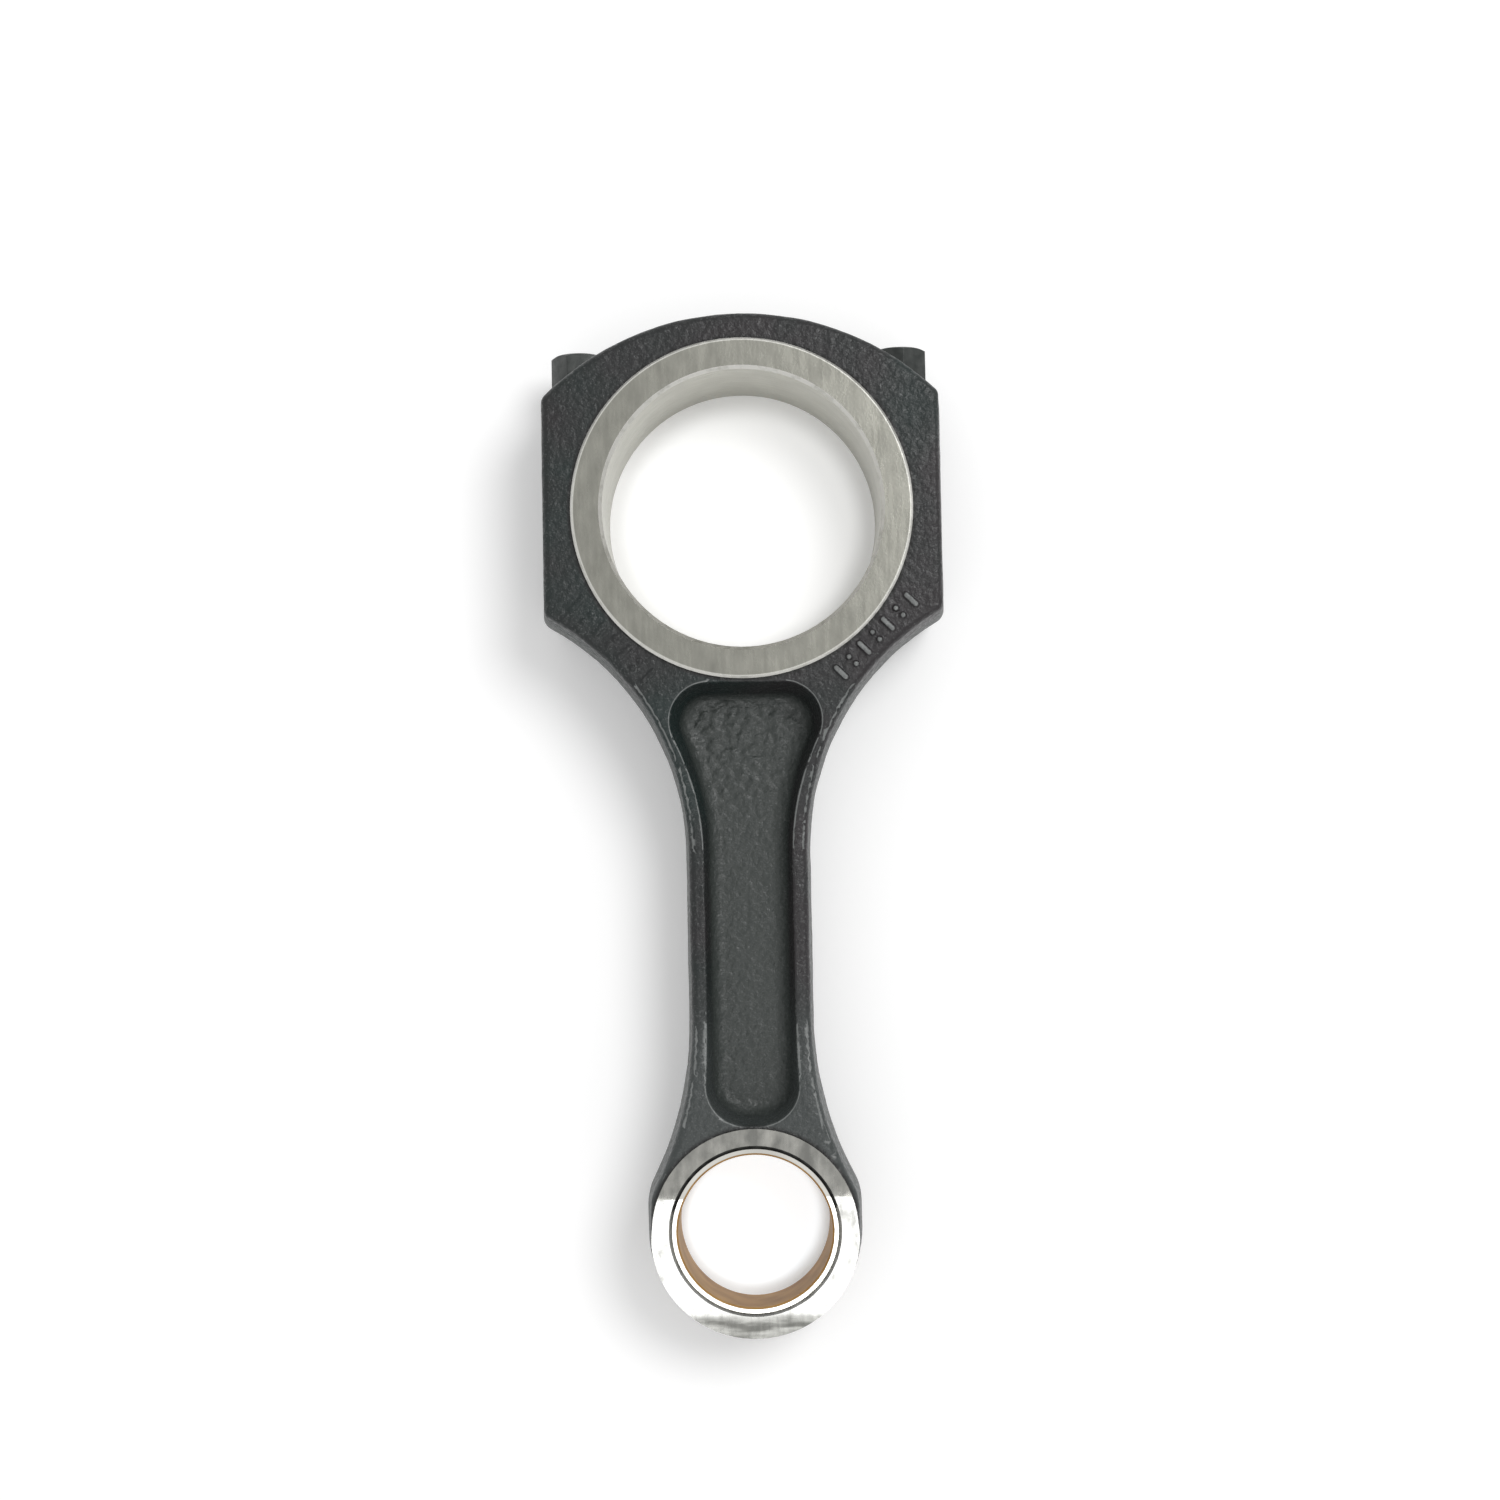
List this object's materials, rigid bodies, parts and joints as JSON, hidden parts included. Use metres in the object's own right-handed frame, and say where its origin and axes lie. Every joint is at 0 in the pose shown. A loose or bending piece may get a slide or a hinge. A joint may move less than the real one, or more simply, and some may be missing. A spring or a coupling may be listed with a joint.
{
  "type": "connecting rod",
  "caption": "Forged engine connecting rod with an I-section beam, a bolted bearing cap, a tapered small end and a bronze bush.",
  "frame": {"origin": "centre of the big-end bore at mid-thickness", "axes": "+Z along both bores, +Y along the rod from the small end towards the bearing cap, +X across the rod"},
  "size_m": [0.107, 0.27, 0.037],
  "materials": {
    "forged_coat": "satin charcoal coat on forged steel, bright where it is machined",
    "bush_bronze": "fine-bored bronze",
    "bolt_steel": "black oxide, satin"
  },
  "bodies": {
    "rod": {"rod_forging": "forged_coat", "small_end_bush": "bush_bronze"},
    "cap": {"bearing_cap": "forged_coat"},
    "bolt_left": {"cap_bolt_left": "bolt_steel"},
    "bolt_right": {"cap_bolt_right": "bolt_steel"}
  },
  "joints": [
    {"name": "cap_lift", "type": "slide", "parent": "rod", "child": "cap", "axis": [0, 1, 0], "range_m": [0, 0.05]},
    {"name": "bolt_left_out", "type": "slide", "parent": "cap", "child": "bolt_left", "axis": [0, 1, 0], "range_m": [0, 0.057]},
    {"name": "bolt_right_out", "type": "slide", "parent": "cap", "child": "bolt_right", "axis": [0, 1, 0], "range_m": [0, 0.057]}
  ]
}
